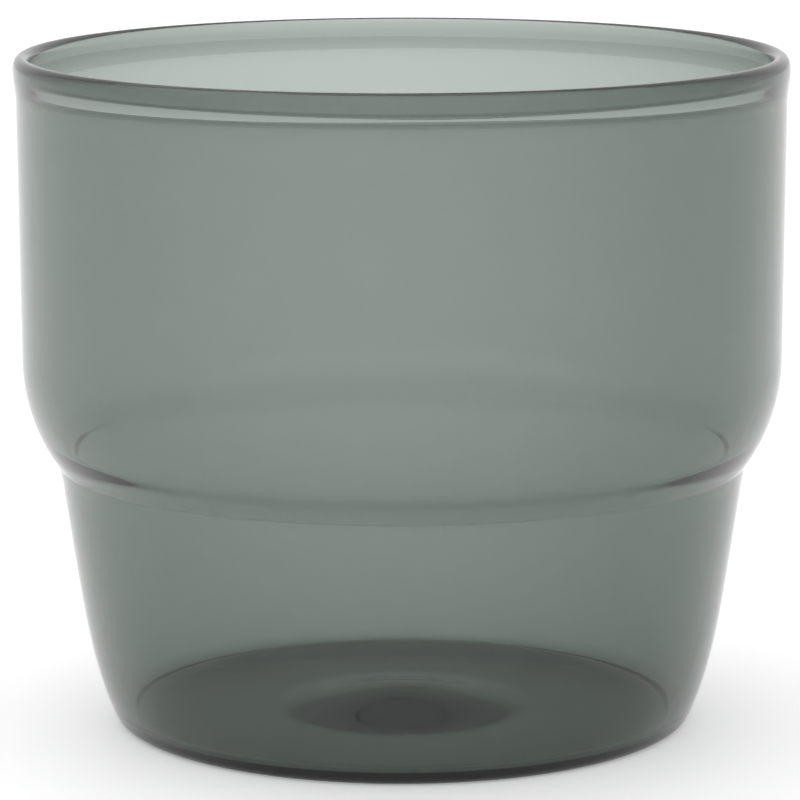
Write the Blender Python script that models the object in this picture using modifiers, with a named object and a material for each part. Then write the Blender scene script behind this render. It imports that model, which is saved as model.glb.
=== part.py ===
"""Stackable juice glass: one blown piece of smoked glass with a stepped wall, in metres, +Z up."""

import math

import bpy

# Outside sizes
HEIGHT = 0.072
RIM_DIAMETER = 0.0824
WALL_TAPER = 0.00023
SHOULDER_HEIGHT = 0.0396
SHOULDER_RADIUS = 0.019
CREASE_RADIUS = 0.0008
HEEL_DIAMETER = 0.0626
HEEL_HEIGHT = 0.001

# Rim: the lip has a flat top with rounded edges, and under it both faces swell out from the wall
LIP_HEIGHT = 0.0017
LIP_POWER = 0.65
OUTER_SWELL = 0.00027
OUTER_SWELL_REACH = 0.0012
INNER_SWELL = 0.00031
INNER_SWELL_REACH = 0.0009

# Inside of the step: a round shoulder, and a nose that bulges in behind the crease
INNER_SHOULDER_RADIUS = 0.0154
NOSE_RADIUS = 0.0022

# Glass thickness
WALL_THICKNESS = 0.00145
CREASE_THICKNESS = 0.0019
HEEL_THICKNESS = 0.0015
THINNING_POWER = 0.45
FLOOR_THICKNESS = 0.0011

# Floor: a turn from the wall, a low crown, and a button in the middle
FLOOR_TURN = 0.002
CROWN_HEIGHT = 0.0008
CROWN_POWER = 1.5
BUTTON_HEIGHT = 0.0018
BUTTON_TOP_RADIUS = 0.004
BUTTON_RADIUS = 0.014

# Underside: a shallow dome inside the flat foot
DOME_HEIGHT = 0.0003
FOOT_WIDTH = 0.0014

# Slopes of the side, measured from upright
SHOULDER_SWEEP = math.radians(36)
LOWER_LEAN = math.radians(8.4)
BULGE_POWER = 5

# Facets
TURN_STEPS = 64
ARC_STEPS = 5
LIP_STEPS = 10
SWELL_STEPS = 4
SWELL_SPAN = 3
WALL_STEPS = 9
BUTTON_STEPS = 6
CROWN_STEPS = 3
DOME_STEPS = 5

# Radii worked out from the sizes above
WALL_TOP_RADIUS = RIM_DIAMETER / 2 - OUTER_SWELL
WALL_FOOT_RADIUS = WALL_TOP_RADIUS - WALL_TAPER
LIP_FOOT = HEIGHT - LIP_HEIGHT
HEEL_RADIUS = HEEL_DIAMETER / 2

# Smoked glass, as the photo shows it
GLASS_COLOUR = (0.25, 0.30, 0.275, 1.0)
GLASS_ROUGHNESS = 0.03
GLASS_IOR = 1.47


def shares(steps):
    """Even shares from 0 to 1, with both ends."""
    return [i / steps for i in range(steps + 1)]


def ease(value, start, end):
    """A smooth step from 0 at the start to 1 at the end."""
    share = min(max((value - start) / (end - start), 0), 1)
    return share**2 * (3 - 2 * share)


def arc(centre, radius, start, end):
    """Points along a circular arc in the (radius, height) plane, with both ends."""
    angles = [start + (end - start) * t for t in shares(ARC_STEPS)]
    return [
        (centre[0] + radius * math.cos(angle), centre[1] + radius * math.sin(angle))
        for angle in angles
    ]


def upright_wall(inset, swell, reach):
    """The upright wall on one face, from the lip down to the shoulder, with its swell under the lip."""
    points = []
    for t in shares(SWELL_STEPS):
        fall = SWELL_SPAN * t
        radius = WALL_TOP_RADIUS - inset + swell * math.exp(-(fall**2) / 2)
        points.append((radius, LIP_FOOT - fall * reach))
    return points + [(WALL_FOOT_RADIUS - inset, SHOULDER_HEIGHT)]


def outer_step():
    """The round shoulder and the hollow crease under it."""
    centre = (WALL_FOOT_RADIUS - SHOULDER_RADIUS, SHOULDER_HEIGHT)
    reach = SHOULDER_RADIUS + CREASE_RADIUS
    hollow_centre = (
        centre[0] + reach * math.cos(SHOULDER_SWEEP),
        centre[1] - reach * math.sin(SHOULDER_SWEEP),
    )
    convex = arc(centre, SHOULDER_RADIUS, 0, -SHOULDER_SWEEP)
    hollow = arc(hollow_centre, CREASE_RADIUS, math.pi - SHOULDER_SWEEP, math.pi - LOWER_LEAN)
    return convex[1:] + hollow[1:]


def inner_step():
    """The inner shoulder and the nose, which touches both the shoulder and the lower wall."""
    centre = (WALL_FOOT_RADIUS - WALL_THICKNESS - INNER_SHOULDER_RADIUS, SHOULDER_HEIGHT)
    crease = outer_step()[-1]
    along = (math.sin(LOWER_LEAN), math.cos(LOWER_LEAN))
    # The nose's centre slides up the lower wall from beside the crease until the two arcs touch
    depth = CREASE_THICKNESS - NOSE_RADIUS
    beside = (crease[0] - depth * along[1] - centre[0], crease[1] + depth * along[0] - centre[1])
    reach = INNER_SHOULDER_RADIUS + NOSE_RADIUS
    level = beside[0] * along[0] + beside[1] * along[1]
    slide = -level - math.sqrt(level**2 - beside[0] ** 2 - beside[1] ** 2 + reach**2)
    nose = (beside[0] + slide * along[0], beside[1] + slide * along[1])
    sweep = math.atan2(-nose[1], nose[0])
    nose_centre = (centre[0] + nose[0], centre[1] + nose[1])
    convex = arc(centre, INNER_SHOULDER_RADIUS, 0, -sweep)
    bulge = arc(nose_centre, NOSE_RADIUS, math.pi - sweep, math.pi - LOWER_LEAN)
    return convex[1:] + bulge[1:]


def lower_wall(top_inset, foot_inset):
    """The wall under the crease, moved in by an inset that changes from its top to its foot."""
    top = outer_step()[-1]
    taper = top[0] - HEEL_RADIUS
    drop = top[1] - HEEL_HEIGHT
    # This share of the taper is a straight cone and the rest is a bulge near the foot
    cone = math.tan(LOWER_LEAN) * drop / taper
    points = []
    for t in shares(WALL_STEPS)[1:]:
        radius = top[0] - taper * (cone * t + (1 - cone) * t**BULGE_POWER)
        slope = taper / drop * (cone + (1 - cone) * BULGE_POWER * t ** (BULGE_POWER - 1))
        inset = top_inset + (foot_inset - top_inset) * t**THINNING_POWER
        lean = math.atan(slope)
        height = top[1] - drop * t
        points.append((radius - inset * math.cos(lean), height + inset * math.sin(lean)))
    return points


def lean_between(above, below):
    """How far a stretch of wall leans in as it goes down."""
    return math.atan2(above[0] - below[0], above[1] - below[1])


def outer_side():
    """The outer face, from the lip down to the end of the rounded heel."""
    wall = upright_wall(0, OUTER_SWELL, OUTER_SWELL_REACH) + outer_step() + lower_wall(0, 0)
    lean = lean_between(*wall[-2:])
    radius = HEEL_HEIGHT / (1 - math.sin(lean))
    centre = (HEEL_RADIUS - radius * math.cos(lean), radius)
    return wall + arc(centre, radius, -lean, -math.pi / 2)[1:]


def inner_side():
    """The inner face, from the lip down to the edge of the floor."""
    wall = upright_wall(WALL_THICKNESS, -INNER_SWELL, INNER_SWELL_REACH) + inner_step()
    lower = lower_wall(CREASE_THICKNESS, HEEL_THICKNESS)
    wall += [point for point in lower if point[1] < wall[-1][1]]
    centre_height = FLOOR_THICKNESS + FLOOR_TURN
    kept = [wall[0]]
    for above, below in zip(wall, wall[1:]):
        lean = lean_between(above, below)
        touch = centre_height - FLOOR_TURN * math.sin(lean)
        if below[1] <= touch:
            break
        kept.append(below)
    radius = above[0] - math.tan(lean) * (above[1] - touch) - FLOOR_TURN * math.cos(lean)
    return kept + arc((radius, centre_height), FLOOR_TURN, -lean, -math.pi / 2)


def lip(inner, outer):
    """The lip between the tops of the two faces: half an ellipse that a power squares off."""
    middle = (inner[0] + outer[0]) / 2
    half = (outer[0] - inner[0]) / 2
    angles = [math.pi * (1 - t) for t in shares(LIP_STEPS)[1:-1]]
    return [
        (middle + half * math.cos(a), LIP_FOOT + LIP_HEIGHT * math.sin(a) ** LIP_POWER)
        for a in angles
    ]


def floor_top(edge):
    """The upper face of the floor, from its middle out to just inside its edge."""
    button = [BUTTON_TOP_RADIUS + (BUTTON_RADIUS - BUTTON_TOP_RADIUS) * t for t in shares(BUTTON_STEPS)]
    crown = [BUTTON_RADIUS + (edge - BUTTON_RADIUS) * t for t in shares(CROWN_STEPS)[1:-1]]
    points = []
    for radius in [0] + button + crown:
        rise = CROWN_HEIGHT * (1 - (radius / edge) ** CROWN_POWER)
        rise += BUTTON_HEIGHT * (1 - ease(radius, BUTTON_TOP_RADIUS, BUTTON_RADIUS))
        points.append((radius, FLOOR_THICKNESS + rise))
    return points


def underside(heel_end):
    """The lower face of the floor, from the inner edge of the foot to the middle."""
    edge = heel_end - FOOT_WIDTH
    return [(edge * (1 - t), DOME_HEIGHT * (1 - (1 - t) ** 2)) for t in shares(DOME_STEPS)]


def glass_profile():
    """The whole section, from the floor's middle up the inside, over the lip and down the outside."""
    inside = inner_side()
    outside = outer_side()
    rim = lip(inside[0], outside[0])
    return floor_top(inside[-1][0]) + inside[::-1] + rim + outside + underside(outside[-1][0])


def glass_material():
    """Clear smoked glass."""
    material = bpy.data.materials.new("smoked_glass")
    material.use_nodes = True
    shader = material.node_tree.nodes["Principled BSDF"]
    shader.inputs["Base Color"].default_value = GLASS_COLOUR
    shader.inputs["Roughness"].default_value = GLASS_ROUGHNESS
    shader.inputs["Metallic"].default_value = 0.0
    shader.inputs["IOR"].default_value = GLASS_IOR
    shader.inputs["Transmission Weight"].default_value = 1.0
    return material


def turned(name, profile, material, collection):
    """An object whose section is turned about Z."""
    mesh = bpy.data.meshes.new(name)
    points = [(radius, 0, height) for radius, height in profile]
    edges = [(i, i + 1) for i in range(len(points) - 1)]
    mesh.from_pydata(points, edges, [])
    mesh.materials.append(material)
    piece = bpy.data.objects.new(name, mesh)
    collection.objects.link(piece)
    screw = piece.modifiers.new("turn", "SCREW")
    screw.axis = "Z"
    screw.steps = TURN_STEPS
    screw.render_steps = TURN_STEPS
    screw.use_merge_vertices = True
    screw.merge_threshold = 0.00001
    screw.use_smooth_shade = True
    return piece


def main():
    """Clear the scene and build the glass."""
    for existing in list(bpy.data.objects):
        bpy.data.objects.remove(existing)
    collection = bpy.data.collections.new("juice_glass")
    bpy.context.scene.collection.children.link(collection)
    turned("tumbler", glass_profile(), glass_material(), collection)


main()
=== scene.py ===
"""Looks of a stackable juice glass: one blown piece of smoked glass on a pale table. Metres, +Z up."""

import logging
import math
from dataclasses import dataclass, field
from enum import Enum

import bpy
import numpy as np
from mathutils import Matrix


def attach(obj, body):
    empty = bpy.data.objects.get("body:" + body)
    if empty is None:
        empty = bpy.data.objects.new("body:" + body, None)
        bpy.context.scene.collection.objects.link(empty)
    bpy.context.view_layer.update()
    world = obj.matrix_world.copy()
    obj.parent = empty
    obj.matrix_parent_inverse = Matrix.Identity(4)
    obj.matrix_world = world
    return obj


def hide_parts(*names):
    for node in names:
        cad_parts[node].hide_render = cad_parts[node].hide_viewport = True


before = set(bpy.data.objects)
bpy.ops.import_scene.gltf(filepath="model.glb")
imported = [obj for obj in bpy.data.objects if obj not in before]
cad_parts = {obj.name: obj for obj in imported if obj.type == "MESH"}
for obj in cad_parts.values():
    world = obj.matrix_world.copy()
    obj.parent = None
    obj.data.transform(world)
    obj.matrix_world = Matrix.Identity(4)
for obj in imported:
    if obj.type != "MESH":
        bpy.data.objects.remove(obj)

LOG = logging.getLogger("juice_glass")
BODY = "root"
WHITE = (1.0, 1.0, 1.0, 1.0)


class Face(Enum):
    """The two faces of the glass wall."""

    OUTER = "outer"
    INNER = "inner"


def ease(value: np.ndarray, start: float, end: float) -> np.ndarray:
    """Step smoothly from 0 to 1: with s the share of the way to the end, s squared times (3 - 2s).

    Args:
        value: where the step is read.
        start: where the step leaves 0.
        end: where the step reaches 1.

    Returns:
        The height of the step at each value.
    """
    share = np.clip((value - start) / (end - start), 0.0, 1.0)
    return share**2 * (3.0 - 2.0 * share)


def arc(centre: np.ndarray, radius: float, start: float, end: float, count: int) -> np.ndarray:
    """Draw a circular arc: the centre plus the radius times the cosine and sine of even angles.

    Args:
        centre: radius and height of the arc's centre.
        radius: radius of the arc.
        start: first angle, in radians.
        end: last angle, in radians.
        count: number of points, both ends among them.

    Returns:
        Points as rows of radius and height.
    """
    angle = np.linspace(start, end, count)
    return np.stack([centre[0] + radius * np.cos(angle), centre[1] + radius * np.sin(angle)], axis=1)


def turned_mesh(name: str, section: np.ndarray, angle: np.ndarray, sway: np.ndarray) -> bpy.types.Mesh:
    """Turn a section about Z.

    Each ring's points are its radius plus its sway, times the cosine and sine of each angle.

    Args:
        name: name of the mesh.
        section: rows of radius and height that start and end on the axis.
        angle: even angles of the points round each ring.
        sway: what is added to the radius, as rows of the section by columns of the angle.

    Returns:
        A closed mesh with its faces outwards and a fan of triangles at each pole.
    """
    rings = section[1:-1]
    count = len(rings)
    steps = len(angle)
    radius = rings[:, :1] + sway[1:-1]
    grid = np.empty((count, steps, 3))
    grid[:, :, 0] = radius * np.cos(angle)
    grid[:, :, 1] = radius * np.sin(angle)
    grid[:, :, 2] = rings[:, 1:]
    poles = np.array([[0.0, 0.0, section[0, 1]], [0.0, 0.0, section[-1, 1]]])
    points = np.concatenate([grid.reshape(-1, 3), poles])
    here = np.arange(steps)
    after = (here + 1) % steps
    row = np.arange(count - 1)[:, None] * steps
    quads = np.stack([row + here, row + steps + here, row + steps + after, row + after], axis=2)
    last = (count - 1) * steps
    first_fan = np.stack([np.full(steps, count * steps), here, after], axis=1)
    last_fan = np.stack([np.full(steps, count * steps + 1), last + after, last + here], axis=1)
    corners = np.concatenate([quads.ravel(), first_fan.ravel(), last_fan.ravel()])
    face_sizes = np.repeat([quads.shape[-1], first_fan.shape[-1]], [last, 2 * steps])
    starts = np.cumsum(face_sizes) - face_sizes
    mesh = bpy.data.meshes.new(name)
    mesh.vertices.add(len(points))
    mesh.vertices.foreach_set("co", points.ravel())
    mesh.loops.add(len(corners))
    mesh.loops.foreach_set("vertex_index", corners)
    mesh.polygons.add(len(starts))
    mesh.polygons.foreach_set("loop_start", starts)
    mesh.update(calc_edges=True)
    mesh.validate()
    mesh.shade_smooth()
    return mesh


class NodeBench:
    """A material's node tree, with short calls that add nodes and join them."""

    def __init__(self, name: str) -> None:
        """Start a material that holds only its output and a principled shader.

        Args:
            name: name of the material.
        """
        self.material = bpy.data.materials.new(name)
        self.material.use_nodes = True
        self.tree = self.material.node_tree
        self.shader = self.tree.nodes["Principled BSDF"]
        self.output = self.tree.nodes["Material Output"]

    def add(self, kind: str, **values: object) -> bpy.types.Node:
        """Add a node.

        Args:
            kind: Blender's name for the kind of node.
            values: input values by socket name, with underscores for spaces.

        Returns:
            The new node.
        """
        node = self.tree.nodes.new(kind)
        for socket, value in values.items():
            node.inputs[socket.replace("_", " ")].default_value = value
        return node

    def join(self, source: bpy.types.NodeSocket, target: bpy.types.NodeSocket) -> None:
        """Link an output socket to an input socket."""
        self.tree.links.new(source, target)

    def noise(self, scale: float, detail: float) -> bpy.types.NodeSocket:
        """Add a noise pattern on object coordinates.

        Args:
            scale: number of features to a metre.
            detail: octaves of finer noise.

        Returns:
            The pattern's value socket.
        """
        coordinates = self.add("ShaderNodeTexCoord")
        pattern = self.add("ShaderNodeTexNoise", Scale=scale, Detail=detail)
        self.join(coordinates.outputs["Object"], pattern.inputs["Vector"])
        return pattern.outputs["Fac"]


@dataclass(frozen=True)
class SmokedGlass:
    """Clear smoky grey-green glass, fire-polished, with the faint ripple of blown glass."""

    ior: float = 1.47
    tint: tuple[float, float, float] = (0.433, 0.494, 0.460)
    density: float = 1000.0
    polish: tuple[float, float] = (0.0, 0.012)
    polish_scale: float = 55.0
    polish_detail: float = 3.0
    ripple_scale: float = 38.0
    ripple_detail: float = 1.0
    ripple_height: float = 0.000004

    def material(self) -> bpy.types.Material:
        """Mix the glass: a refracting shader over a volume that takes up light with depth.

        Returns:
            The material, with its polish and ripple from soft noise.
        """
        bench = NodeBench("smoked_glass")
        shader = bench.shader.inputs
        shader["Base Color"].default_value = WHITE
        shader["Transmission Weight"].default_value = 1.0
        shader["IOR"].default_value = self.ior
        polish = bench.add("ShaderNodeMapRange", To_Min=self.polish[0], To_Max=self.polish[1])
        bench.join(bench.noise(self.polish_scale, self.polish_detail), polish.inputs["Value"])
        bench.join(polish.outputs["Result"], shader["Roughness"])
        ripple = bench.add("ShaderNodeBump", Strength=1.0, Distance=self.ripple_height)
        bench.join(bench.noise(self.ripple_scale, self.ripple_detail), ripple.inputs["Height"])
        bench.join(ripple.outputs["Normal"], shader["Normal"])
        smoke = bench.add("ShaderNodeVolumeAbsorption", Color=(*self.tint, 1.0), Density=self.density)
        bench.join(smoke.outputs["Volume"], bench.output.inputs["Volume"])
        return bench.material


@dataclass(frozen=True)
class PaleTable:
    """A matt, nearly white table top with a painted glow of its own: painted light that fills the glass's
    shadow round the foot and stops under the glass, so the ground under the base keeps its shade.
    """

    low: tuple[float, float, float] = (0.90, 0.90, 0.90)
    high: tuple[float, float, float] = (0.93, 0.93, 0.93)
    tone_scale: float = 9.0
    tone_detail: float = 2.0
    roughness: float = 0.65
    # painted light: how strongly the table glows, and the radii round the foot where the glow starts and
    # is full
    painted_glow: float = 0.25
    painted_glow_start: float = 0.026
    painted_glow_full: float = 0.030

    def material(self) -> bpy.types.Material:
        """Mix the table top: two pale tones shared out by soft noise, and a painted glow, painted light
        that starts at the foot.

        The painted glow rises from 0 as a smooth step of the radius, so the table stays unlit under the
        glass.

        Returns:
            The material.
        """
        bench = NodeBench("pale_table")
        tones = bench.add("ShaderNodeMix")
        tones.data_type = "RGBA"
        bench.join(bench.noise(self.tone_scale, self.tone_detail), tones.inputs["Factor"])
        colour_inputs = [socket for socket in tones.inputs if socket.type == "RGBA"]
        colour_inputs[0].default_value = (*self.low, 1.0)
        colour_inputs[1].default_value = (*self.high, 1.0)
        mixed = next(socket for socket in tones.outputs if socket.type == "RGBA")
        bench.join(mixed, bench.shader.inputs["Base Color"])
        bench.shader.inputs["Roughness"].default_value = self.roughness
        place = bench.add("ShaderNodeTexCoord")
        radius = bench.add("ShaderNodeVectorMath")
        radius.operation = "LENGTH"
        bench.join(place.outputs["Object"], radius.inputs[0])
        # painted light: the table glows from the foot outwards, which whitens the glass's shadow, and
        # stays unlit under the glass
        rise = bench.add(
            "ShaderNodeMapRange",
            From_Min=self.painted_glow_start,
            From_Max=self.painted_glow_full,
            To_Max=self.painted_glow,
        )
        rise.interpolation_type = "SMOOTHSTEP"
        bench.join(radius.outputs["Value"], rise.inputs["Value"])
        bench.shader.inputs["Emission Color"].default_value = WHITE
        bench.join(rise.outputs["Result"], bench.shader.inputs["Emission Strength"])
        return bench.material


@dataclass(frozen=True)
class Swell:
    """A soft thickening of one face: how far it stands out, inwards if negative, and its reach."""

    height: float
    reach: float

    def bell(self, distance: np.ndarray) -> np.ndarray:
        """Fade as a bell curve: e to the minus half of the square of the distance over the reach."""
        return np.exp(-((distance / self.reach) ** 2) / 2.0)


@dataclass(frozen=True)
class Wave:
    """One wave of the rim's sway: how many times it comes round, how high it is and where it starts."""

    count: int
    height: float
    start: float


@dataclass(frozen=True)
class Fineness:
    """How many points draw each stretch of the section, both ends among them, and each ring."""

    swell: int = 24
    wall: int = 4
    shoulder: int = 30
    crease: int = 12
    inner_shoulder: int = 60
    nose: int = 14
    lower: int = 40
    heel: int = 14
    floor_turn: int = 16
    lip: int = 49
    crown: int = 40
    floor: int = 16
    dome: int = 20
    ring: int = 224


@dataclass
class Tumbler:
    """The blown glass: a thin shell with a stepped wall, a flat-topped lip and a crown on its floor."""

    # Outer face
    height: float = 0.072
    rim_radius: float = 0.0412
    wall_taper: float = 0.00023
    shoulder_height: float = 0.0396
    shoulder_radius: float = 0.019
    shoulder_sweep: float = math.radians(36.0)
    crease_radius: float = 0.0004
    crease_lean: float = math.radians(15.0)
    fade_radius: float = 0.020
    lower_lean: float = math.radians(8.4)
    bulge_power: float = 5.0
    heel_radius: float = 0.0313
    heel_height: float = 0.001
    # Lip, and the swells under it, which have faded after so many reaches
    lip_height: float = 0.0017
    lip_power: float = 0.65
    swells: dict[Face, Swell] = field(
        default_factory=lambda: {
            Face.OUTER: Swell(0.00027, 0.0012),
            Face.INNER: Swell(-0.00025, 0.0009),
        }
    )
    swell_span: float = 4.0
    # Inside of the step
    inner_shoulder_radius: float = 0.017
    nose_radius: float = 0.0006
    roll: Swell = Swell(-0.00017, 0.0007)
    roll_height: float = 0.0302
    # Thickness of the glass
    wall_thickness: float = 0.00145
    crease_thickness: float = 0.00155
    heel_thickness: float = 0.0016
    thickness_power: float = 0.45
    floor_thickness: float = 0.00132
    # Floor and underside
    floor_turn: float = 0.002
    dish_depth: float = 0.0003
    dish_power: float = 4.0
    crown_height: float = 0.002
    crown_radius: float = 0.0145
    dome_height: float = 0.0002
    foot_width: float = 0.0014
    # Hand work
    bore_shift: float = 0.000065
    sway: tuple[Wave, ...] = (
        Wave(1, 0.00008, math.radians(90.0)),
        Wave(2, 0.00002, 0.0),
        Wave(3, 0.000024, math.radians(45.0)),
    )
    fineness: Fineness = Fineness()

    @property
    def wall_top_radius(self) -> float:
        """Radius of the outer face where the upright wall would meet the lip without its swell."""
        return self.rim_radius - self.swells[Face.OUTER].height

    @property
    def wall_foot_radius(self) -> float:
        """Radius of the outer face where the shoulder starts."""
        return self.wall_top_radius - self.wall_taper

    @property
    def lip_foot(self) -> float:
        """Height at which the lip starts."""
        return self.height - self.lip_height

    def upright(self, face: Face) -> np.ndarray:
        """Draw the upright wall: a straight taper, and a swell that fades as a bell curve of the depth.

        Args:
            face: the face to draw.

        Returns:
            Points from the lip down to the shoulder.
        """
        inset = self.wall_thickness if face is Face.INNER else 0.0
        swell = self.swells[face]
        drop = self.lip_foot - self.shoulder_height
        faded = self.swell_span * swell.reach
        swollen = np.linspace(0.0, faded, self.fineness.swell)
        plain = np.linspace(faded, drop, self.fineness.wall)
        depth = np.concatenate([swollen, plain[1:]])
        taper = self.wall_taper * depth / drop
        radius = self.wall_top_radius - inset - taper + swell.height * swell.bell(depth)
        return np.stack([radius, self.lip_foot - depth], axis=1)

    def outer_step(self) -> np.ndarray:
        """Draw the outer step: a convex arc, a tight hollow arc and a slow one, all tangent.

        Each hollow arc's centre lies out from the point where it starts, by its radius on the normal.

        Returns:
            Points from the foot of the upright wall to the top of the lower wall.
        """
        centre = np.array([self.wall_foot_radius - self.shoulder_radius, self.shoulder_height])
        step = arc(centre, self.shoulder_radius, 0.0, -self.shoulder_sweep, self.fineness.shoulder)
        leans = (self.shoulder_sweep, self.crease_lean, self.lower_lean)
        for radius, lean, next_lean in zip((self.crease_radius, self.fade_radius), leans, leans[1:]):
            centre = step[-1] + radius * np.array([math.cos(lean), -math.sin(lean)])
            hollow = arc(centre, radius, math.pi - lean, math.pi - next_lean, self.fineness.crease)
            step = np.concatenate([step, hollow[1:]])
        return step[1:]

    def inner_step(self) -> np.ndarray:
        """Draw the inner step: a convex arc and a nose that touches it and the line of the lower wall.

        The nose's centre lies on a line beside the lower wall, at the two radii's sum from the arc's
        centre, so its place along that line is the lower root of a square equation. A soft roll stands
        in from the arc above the nose: a bell curve of the height.

        Returns:
            Points from the foot of the upright wall to the top of the lower wall.
        """
        shoulder = self.inner_shoulder_radius
        wall_foot = self.wall_foot_radius - self.wall_thickness
        centre = np.array([wall_foot - shoulder, self.shoulder_height])
        along = np.array([math.sin(self.lower_lean), math.cos(self.lower_lean)])
        outward = np.array([along[1], -along[0]])
        depth = self.crease_thickness - self.nose_radius
        beside = self.outer_step()[-1] - depth * outward - centre
        reach = shoulder + self.nose_radius
        level = beside @ along
        nose = beside - (level + math.sqrt(level**2 - beside @ beside + reach**2)) * along
        sweep = math.atan2(-nose[1], nose[0])
        convex = arc(centre, shoulder, 0.0, -sweep, self.fineness.inner_shoulder)
        start = math.pi - sweep
        end = math.pi - self.lower_lean
        bulge = arc(centre + nose, self.nose_radius, start, end, self.fineness.nose)
        step = np.concatenate([convex[1:], bulge[1:]])
        step[:, 0] += self.roll.height * self.roll.bell(step[:, 1] - self.roll_height)
        return step

    def lower(self, top_inset: float, foot_inset: float) -> np.ndarray:
        """Draw the lower wall: a cone plus a bulge that grows as a power of the share of the way down.

        Args:
            top_inset: how far the face lies inside the outer face at the top.
            foot_inset: how far it lies inside at the foot.

        Returns:
            Points from under the crease down to the heel, moved in along the wall's normal.
        """
        top = self.outer_step()[-1]
        taper = top[0] - self.heel_radius
        drop = top[1] - self.heel_height
        cone = math.tan(self.lower_lean) * drop / taper
        share = np.linspace(0.0, 1.0, self.fineness.lower)[1:]
        radius = top[0] - taper * (cone * share + (1.0 - cone) * share**self.bulge_power)
        steepness = cone + (1.0 - cone) * self.bulge_power * share ** (self.bulge_power - 1.0)
        lean = np.arctan(taper / drop * steepness)
        inset = top_inset + (foot_inset - top_inset) * share**self.thickness_power
        height = top[1] - drop * share
        return np.stack([radius - inset * np.cos(lean), height + inset * np.sin(lean)], axis=1)

    def outer_side(self) -> np.ndarray:
        """Draw the outer face, with a heel whose arc touches the wall and the table.

        Returns:
            Points from the lip to the end of the heel.
        """
        wall = np.concatenate([self.upright(Face.OUTER), self.outer_step(), self.lower(0.0, 0.0)])
        lean = math.atan2(wall[-2, 0] - wall[-1, 0], wall[-2, 1] - wall[-1, 1])
        radius = self.heel_height / (1.0 - math.sin(lean))
        centre = np.array([self.heel_radius - radius * math.cos(lean), radius])
        heel = arc(centre, radius, -lean, -math.pi / 2.0, self.fineness.heel)
        return np.concatenate([wall, heel[1:]])

    def inner_side(self) -> np.ndarray:
        """Draw the inner face, with a turn whose arc touches the wall and the floor.

        Returns:
            Points from the lip to the edge of the floor.
        """
        upper = np.concatenate([self.upright(Face.INNER), self.inner_step()])
        lower = self.lower(self.crease_thickness, self.heel_thickness)
        wall = np.concatenate([upper, lower[lower[:, 1] < upper[-1, 1]]])
        fall = -np.diff(wall, axis=0)
        lean = np.arctan2(fall[:, 0], fall[:, 1])
        centre_height = self.floor_thickness + self.floor_turn
        touch = centre_height - self.floor_turn * np.sin(lean)
        last = int(np.argmax(wall[1:, 1] <= touch))
        end_lean = float(lean[last])
        radius = wall[last, 0] - math.tan(end_lean) * (wall[last, 1] - touch[last])
        centre = np.array([radius - self.floor_turn * math.cos(end_lean), centre_height])
        turn = arc(centre, self.floor_turn, -end_lean, -math.pi / 2.0, self.fineness.floor_turn)
        return np.concatenate([wall[: last + 1], turn])

    def lip(self, inner: np.ndarray, outer: np.ndarray) -> np.ndarray:
        """Draw the lip: half an ellipse whose height is a power of the sine, which squares it off.

        Args:
            inner: top point of the inner face.
            outer: top point of the outer face.

        Returns:
            Points between the two, without them.
        """
        angle = np.linspace(math.pi, 0.0, self.fineness.lip)[1:-1]
        middle = (inner[0] + outer[0]) / 2.0
        half = (outer[0] - inner[0]) / 2.0
        height = self.lip_height * np.sin(angle) ** self.lip_power
        return np.stack([middle + half * np.cos(angle), self.lip_foot + height], axis=1)

    def floor_top(self, edge: float) -> np.ndarray:
        """Draw the floor's upper face: a dish that rises as a power of the radius, and a crown in it.

        The crown falls as a smooth step from the axis to its radius.

        Args:
            edge: radius at which the floor meets the turn from the wall.

        Returns:
            Points from the middle out to just inside the edge.
        """
        crown = np.linspace(0.0, self.crown_radius, self.fineness.crown)
        plain = np.linspace(self.crown_radius, edge, self.fineness.floor)
        radius = np.concatenate([crown, plain[1:-1]])
        dish = self.dish_depth * (1.0 - (radius / edge) ** self.dish_power)
        rise = self.crown_height * (1.0 - ease(radius, 0.0, self.crown_radius))
        return np.stack([radius, self.floor_thickness - dish + rise], axis=1)

    def underside(self, heel_end: float) -> np.ndarray:
        """Draw the floor's lower face: a dome whose height falls as the square of the radius.

        Args:
            heel_end: radius at which the rounded heel meets the table.

        Returns:
            Points from the inner edge of the foot to the middle.
        """
        share = np.linspace(1.0, 0.0, self.fineness.dome)
        height = self.dome_height * (1.0 - share**2)
        return np.stack([(heel_end - self.foot_width) * share, height], axis=1)

    def section(self) -> tuple[np.ndarray, np.ndarray]:
        """Join the whole section: the floor, the inside, the lip, the outside and the underside.

        Returns:
            Points as rows of radius and height, and each one's share in the inner face, from 1 to 0.
        """
        inner = self.inner_side()
        outer = self.outer_side()
        floor = self.floor_top(float(inner[-1, 0]))
        rim = self.lip(inner[0], outer[0])
        under = self.underside(float(outer[-1, 0]))
        inside = np.ones(len(floor) + len(inner))
        across = np.linspace(1.0, 0.0, len(rim) + 2)[1:-1]
        outside = np.zeros(len(outer) + len(under))
        points = np.concatenate([floor, inner[::-1], rim, outer, under])
        return points, np.concatenate([inside, across, outside])

    def hand_sway(self, points: np.ndarray, inward: np.ndarray, angle: np.ndarray) -> np.ndarray:
        """Bend the inner face as hand work does.

        The bore lies a little to the left: its radius loses the shift times the cosine of the angle,
        less so on the crown, in step with the radius. The inner swell comes and goes round the rim:
        a sum of cosine waves that fades as a bell curve of the depth.

        Args:
            points: rows of radius and height.
            inward: each point's share in the inner face.
            angle: angles round the axis.

        Returns:
            What is added to the radius, as rows of the points by columns of the angle.
        """
        depth = np.maximum(self.lip_foot - points[:, 1], 0.0)
        bell = self.swells[Face.INNER].bell(depth)
        waves = sum(wave.height * np.cos(wave.count * angle + wave.start) for wave in self.sway)
        off_centre = np.minimum(points[:, 0] / self.crown_radius, 1.0)
        shift = self.bore_shift * np.cos(angle)
        return -inward[:, None] * (bell[:, None] * waves + off_centre[:, None] * shift)

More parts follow.
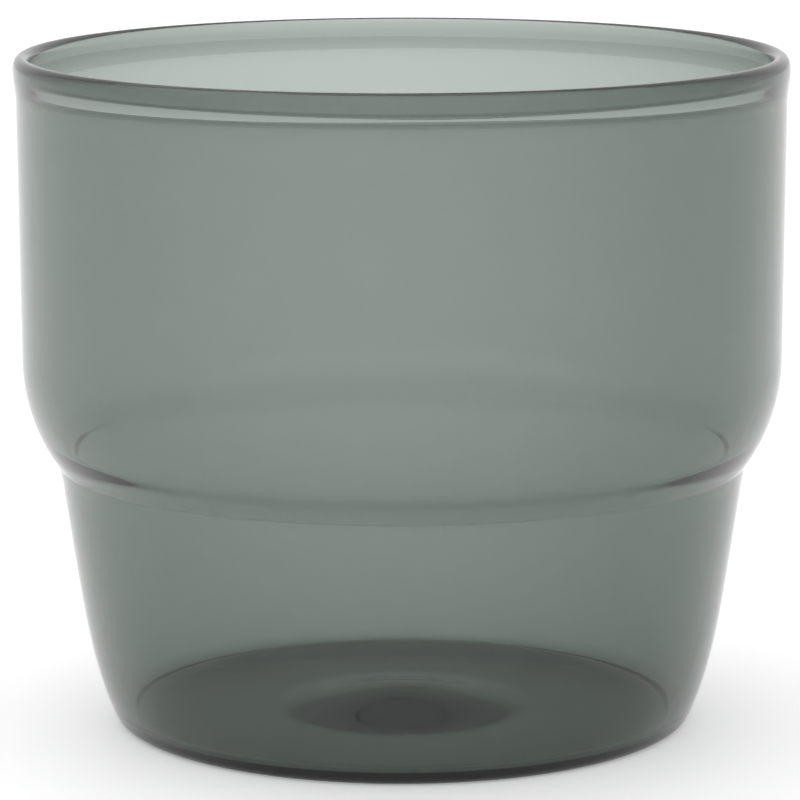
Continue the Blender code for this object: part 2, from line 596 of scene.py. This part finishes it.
    def build(self) -> bpy.types.Object:
        """Turn the section and put the piece in the scene in place of its solid.

        Returns:
            The piece, still without its finish.
        """
        points, inward = self.section()
        angle = np.linspace(0.0, 2.0 * np.pi, self.fineness.ring, endpoint=False)
        mesh = turned_mesh("blown_glass", points, angle, self.hand_sway(points, inward, angle))
        piece = bpy.data.objects.new("blown_glass", mesh)
        bpy.context.scene.collection.objects.link(piece)
        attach(piece, BODY)
        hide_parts("tumbler")
        return piece

    def dress(self, piece: bpy.types.Object, finish: SmokedGlass) -> None:
        """Give the piece its finish."""
        piece.data.materials.append(finish.material())


@dataclass
class Studio:
    """A pale table under even white light, and a camera at the photograph's angle, a little above."""

    table_half: float = 3.0
    table_drop: float = 0.00002
    sky: tuple[float, float, float] = (1.0, 1.0, 1.0)
    sky_strength: float = 0.95
    camera_place: tuple[float, float, float] = (0.0, -0.460, 0.11765)
    camera_pitch: float = 0.17885
    camera_roll: float = math.radians(0.1)
    camera_yaw: float = 0.0002
    lens: float = 195.46
    sensor: float = 36.0
    nearest: float = 0.01
    light_bounces: int = 24
    softbox_place: tuple[float, float, float] = (-0.2, 0.2, 0.8)
    softbox_size: float = 0.8
    softbox_power: float = 1.0

    def lay_table(self, finish: PaleTable) -> bpy.types.Object:
        """Lay the table top as one square just under the foot.

        Args:
            finish: the table's finish.

        Returns:
            The table, marked as not part of the glass.
        """
        side = np.array([-1.0, 1.0, 1.0, -1.0]) * self.table_half
        points = np.stack([side, np.roll(side, 1), np.full_like(side, -self.table_drop)], axis=1)
        mesh = bpy.data.meshes.new("table")
        mesh.from_pydata(points.tolist(), [], [(0, 1, 2, 3)])
        mesh.materials.append(finish.material())
        table = bpy.data.objects.new("table", mesh)
        bpy.context.scene.collection.objects.link(table)
        return table

    def light(self) -> None:
        """Surround the scene with even white light and add a large soft lamp at the left.

        Light is followed far enough to pass through every wall of the glass, and its tones stay plain.
        """
        scene = bpy.context.scene
        world = bpy.data.worlds.new("white_studio")
        world.use_nodes = True
        background = world.node_tree.nodes["Background"]
        background.inputs["Color"].default_value = (*self.sky, 1.0)
        background.inputs["Strength"].default_value = self.sky_strength
        scene.world = world
        lamp = bpy.data.lights.new("softbox", "AREA")
        lamp.size = self.softbox_size
        lamp.energy = self.softbox_power
        softbox = bpy.data.objects.new("softbox", lamp)
        softbox.location = self.softbox_place
        softbox.rotation_euler = (-softbox.location).to_track_quat("-Z", "Y").to_euler()
        scene.collection.objects.link(softbox)
        scene.view_settings.view_transform = "Standard"
        scene.cycles.max_bounces = self.light_bounces
        scene.cycles.transmission_bounces = self.light_bounces
        scene.cycles.glossy_bounces = self.light_bounces

    def aim_camera(self) -> bpy.types.Object:
        """Set the camera at the photograph's angle and make it the scene's own.

        Returns:
            The camera.
        """
        data = bpy.data.cameras.new("camera")
        data.lens = self.lens
        data.sensor_width = self.sensor
        data.clip_start = self.nearest
        camera = bpy.data.objects.new("camera", data)
        camera.location = self.camera_place
        camera.rotation_euler = (math.pi / 2.0 - self.camera_pitch, self.camera_roll, self.camera_yaw)
        bpy.context.scene.collection.objects.link(camera)
        bpy.context.scene.camera = camera
        return camera


def main() -> None:
    """Build the glass and its studio, and report each piece."""
    logging.basicConfig(level=logging.INFO, format="%(message)s")
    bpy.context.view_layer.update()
    tumbler = Tumbler()
    piece = tumbler.build()
    tumbler.dress(piece, SmokedGlass())
    LOG.info("%s: %d faces", piece.name, len(piece.data.polygons))
    studio = Studio()
    table = studio.lay_table(PaleTable())
    LOG.info("%s laid", table.name)
    studio.light()
    camera = studio.aim_camera()
    LOG.info("%s aimed with a %.1f mm lens", camera.name, camera.data.lens)


if __name__ == "__main__":
    main()
